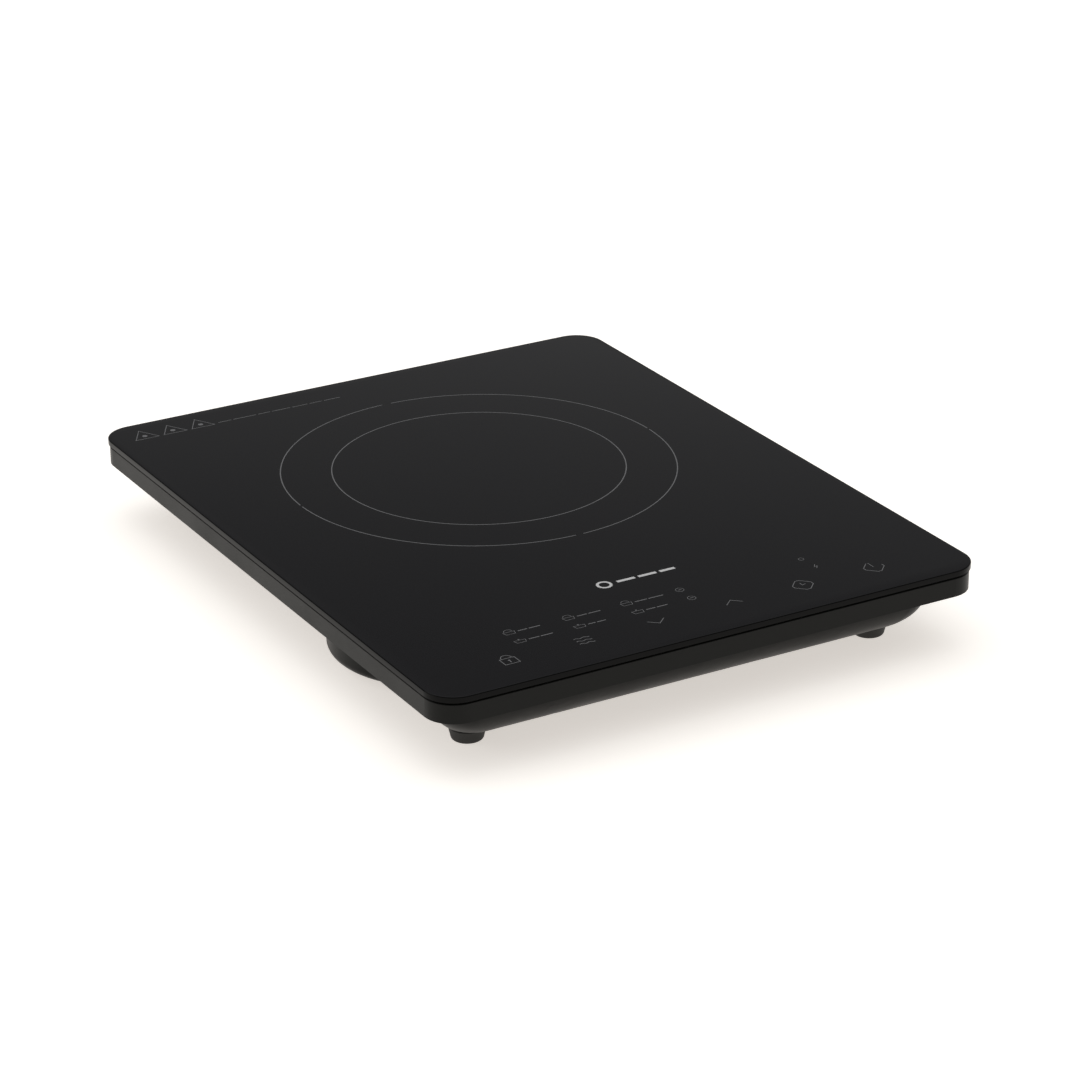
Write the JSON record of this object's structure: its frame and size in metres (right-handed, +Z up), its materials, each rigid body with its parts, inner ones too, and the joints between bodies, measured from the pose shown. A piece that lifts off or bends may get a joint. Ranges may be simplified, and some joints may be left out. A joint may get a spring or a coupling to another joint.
{
  "type": "portable induction cooktop",
  "caption": "Slim table-top induction cooktop: black glass plate on a dished dark grey housing with rubber feet, touch controls, flat induction coil and a cooling fan.",
  "frame": {"origin": "on the worktop under the middle of the glass, in the plane of the feet", "axes": "+X to the right of the person at the controls, +Y away from that person, +Z up through the cooking surface"},
  "size_m": [0.28, 0.353, 0.042],
  "materials": {
    "black_glass": "polished black glass-ceramic",
    "seal": "matt adhesive seal",
    "housing": "fine-textured dark grey moulding",
    "frame_plastic": "matt black moulding",
    "foot_rubber": "matt rubber",
    "screw_steel": "zinc-plated",
    "spring_steel": "bright wire",
    "former_plastic": "glass-filled moulding",
    "ferrite": "matt sintered ferrite",
    "copper": "lacquered copper",
    "mica": "pale mica sheet",
    "silicone": "white silicone",
    "sensor_glass": "glazed bead",
    "wire_sleeve": "insulated wire",
    "circuit_board": "solder-masked laminate",
    "connector_plastic": "natural nylon",
    "heatsink_metal": "plain extrusion",
    "chip_plastic": "moulded package",
    "capacitor_case": "film capacitor case",
    "transformer_tape": "taped winding and core",
    "capacitor_sleeve": "printed-free sleeve",
    "fuse_glass": "clear tube",
    "terminal_metal": "tinned brass",
    "varistor_coat": "dipped coat",
    "fan_plastic": "black moulding",
    "bronze": "sintered bronze",
    "core_steel": "stacked laminations",
    "magnet": "bonded magnet",
    "shaft_steel": "ground steel",
    "clip_plastic": "nylon",
    "light_lens": "clear epoxy",
    "display_face": "tinted face",
    "ribbon": "flat cable"
  },
  "bodies": {
    "cooktop": {"board_connectors": "connector_plastic", "board_screws": "screw_steel", "bridge_rectifier": "chip_plastic", "buzzer": "chip_plastic", "case_screws": "screw_steel", "choke_core": "ferrite", "choke_winding": "copper", "coil_former": "former_plastic", "coil_leads": "wire_sleeve", "coil_screws": "screw_steel", "coil_springs": "spring_steel", "coil_terminals": "terminal_metal", "control_board": "circuit_board", "control_chips": "chip_plastic", "control_ribbon": "ribbon", "control_screws": "screw_steel", "cord_gland": "foot_rubber", "digit_display": "display_face", "electrolytic_capacitors": "capacitor_sleeve", "fan_bearing": "bronze", "fan_driver_board": "circuit_board", "fan_frame": "fan_plastic", "fan_lead": "wire_sleeve", "fan_screws": "screw_steel", "fan_stator": "core_steel", "fan_windings": "copper", "ferrite_bars": "ferrite", "film_capacitors": "capacitor_case", "foot_back_left": "foot_rubber", "foot_back_right": "foot_rubber", "foot_front_left": "foot_rubber", "foot_front_right": "foot_rubber", "fuse": "fuse_glass", "fuse_clips": "terminal_metal", "glass_frame": "frame_plastic", "glass_panel": "black_glass", "glass_seal": "seal", "heatsink": "heatsink_metal", "heatsink_screws": "screw_steel", "housing_tray": "housing", "indicator_lights": "light_lens", "induction_coil": "copper", "insulating_sheet": "mica", "light_shroud": "frame_plastic", "main_board": "circuit_board", "mains_terminals": "terminal_metal", "power_transistor": "chip_plastic", "sensor_holder": "silicone", "sensor_leads": "wire_sleeve", "thermal_sensor": "sensor_glass", "touch_springs": "copper", "transformer": "transformer_tape", "varistor": "varistor_coat"},
    "fan": {"fan_rotor": "fan_plastic", "fan_magnet": "magnet", "fan_shaft": "shaft_steel", "fan_clip": "clip_plastic"}
  },
  "joints": [
    {"name": "fan_spin", "type": "hinge", "parent": "cooktop", "child": "fan", "pos_m": [-0.077, -0.0557, 0.0156], "axis": [0, 0, 1], "continuous": true}
  ]
}
